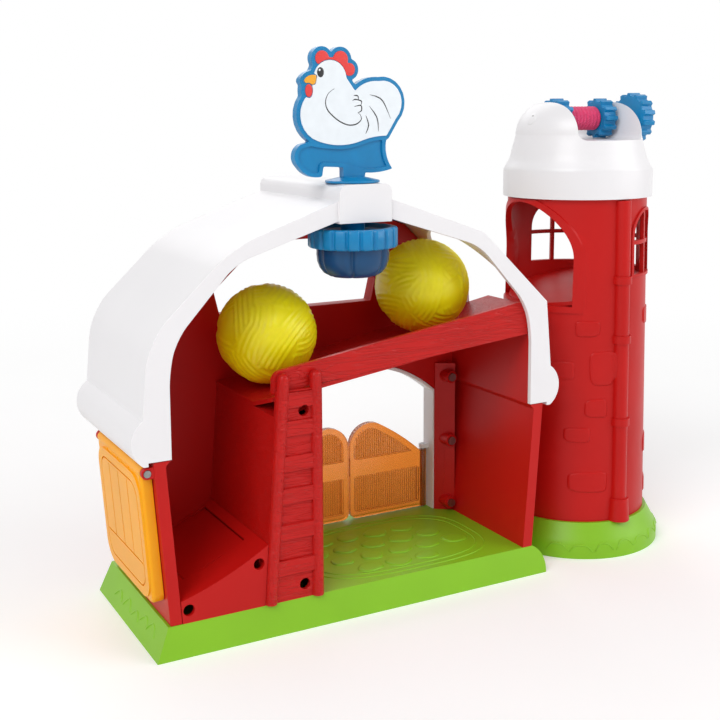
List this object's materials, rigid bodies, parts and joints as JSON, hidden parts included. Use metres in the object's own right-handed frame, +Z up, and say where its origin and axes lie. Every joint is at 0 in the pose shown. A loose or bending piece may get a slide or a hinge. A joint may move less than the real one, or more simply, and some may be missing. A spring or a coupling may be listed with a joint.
{
  "type": "toy barn",
  "caption": "Open backed toy barn with a ball ramp, a silo, a weather vane that turns, a flap door and two swing doors.",
  "frame": {"origin": "centre of the underside of the barn base", "axes": "+X along the barn towards the silo, +Y towards the front facade, +Z up"},
  "size_m": [0.3925, 0.1255, 0.3306],
  "materials": {
    "green": "moulded polypropylene, satin",
    "red": "moulded polypropylene, satin",
    "white": "moulded ABS, gloss",
    "blue": "moulded ABS, gloss",
    "pink": "moulded ABS, wound rope pattern",
    "rooster_white": "moulded ABS with painted details",
    "amber": "moulded polypropylene, satin",
    "clear_orange": "clear tinted polystyrene",
    "yellow": "moulded ABS, gloss",
    "steel": "zinc plated steel"
  },
  "bodies": {
    "barn": {"barn_base": "green", "base_cover": "green", "base_screws": "steel", "silo_base": "green", "silo_cover": "green", "silo_screws": "steel", "left_wall": "red", "right_wall": "red", "corner_screws": "steel", "liner": "red", "facade": "red", "door_trim": "white", "ladder_column": "red", "chute": "red", "ramp": "red", "roof": "white", "silo_shell": "red", "silo_floor": "red", "silo_cap": "white", "exit_pin": "steel", "leaf_pins": "steel"},
    "weather_vane": {"impeller": "blue", "vane_spindle": "steel", "vane_foot": "blue", "rooster": "rooster_white"},
    "silo_hoist": {"hoist_axle": "steel", "hoist_wheel_left": "blue", "hoist_wheel_right": "blue", "hoist_drum": "pink", "hoist_crank": "blue"},
    "exit_flap": {"exit_door": "amber"},
    "left_leaf": {"leaf_left": "clear_orange"},
    "right_leaf": {"leaf_right": "clear_orange"},
    "press_plate": {"chute_plate": "red"},
    "lower_ball": {"ball_lower": "yellow"},
    "upper_ball": {"ball_upper": "yellow"}
  },
  "joints": [
    {"name": "exit_flap_hinge", "type": "hinge", "parent": "barn", "child": "exit_flap", "pos_m": [-0.13066, -0.008, 0.10474], "axis": [0, 1, 0], "range_deg": [0, 65]},
    {"name": "left_leaf_hinge", "type": "hinge", "parent": "barn", "child": "left_leaf", "pos_m": [-0.0184, 0.0445, 0.04], "axis": [0, 0, 1], "range_deg": [0, 95]},
    {"name": "right_leaf_hinge", "type": "hinge", "parent": "barn", "child": "right_leaf", "pos_m": [0.0994, 0.0445, 0.04], "axis": [0, 0, -1], "range_deg": [0, 95]},
    {"name": "vane_spin", "type": "hinge", "parent": "barn", "child": "weather_vane", "pos_m": [0, -0.0382, 0.24], "axis": [0, 0, 1], "continuous": true},
    {"name": "hoist_spin", "type": "hinge", "parent": "barn", "child": "silo_hoist", "pos_m": [0.1943, 0, 0.287], "axis": [1, 0, 0], "continuous": true},
    {"name": "press", "type": "slide", "parent": "barn", "child": "press_plate", "axis": [0.3954, 0, -0.9185], "range_m": [0, 0.0015], "stiffness_N_per_m": 400},
    {"name": "lower_ball_roll", "type": "slide", "parent": "barn", "child": "lower_ball", "axis": [0.9831, 0, 0.1829], "range_m": [-0.008, 0.02]},
    {"name": "upper_ball_roll", "type": "slide", "parent": "barn", "child": "upper_ball", "axis": [0.9831, 0, 0.1829], "range_m": [-0.015, 0.04]}
  ]
}
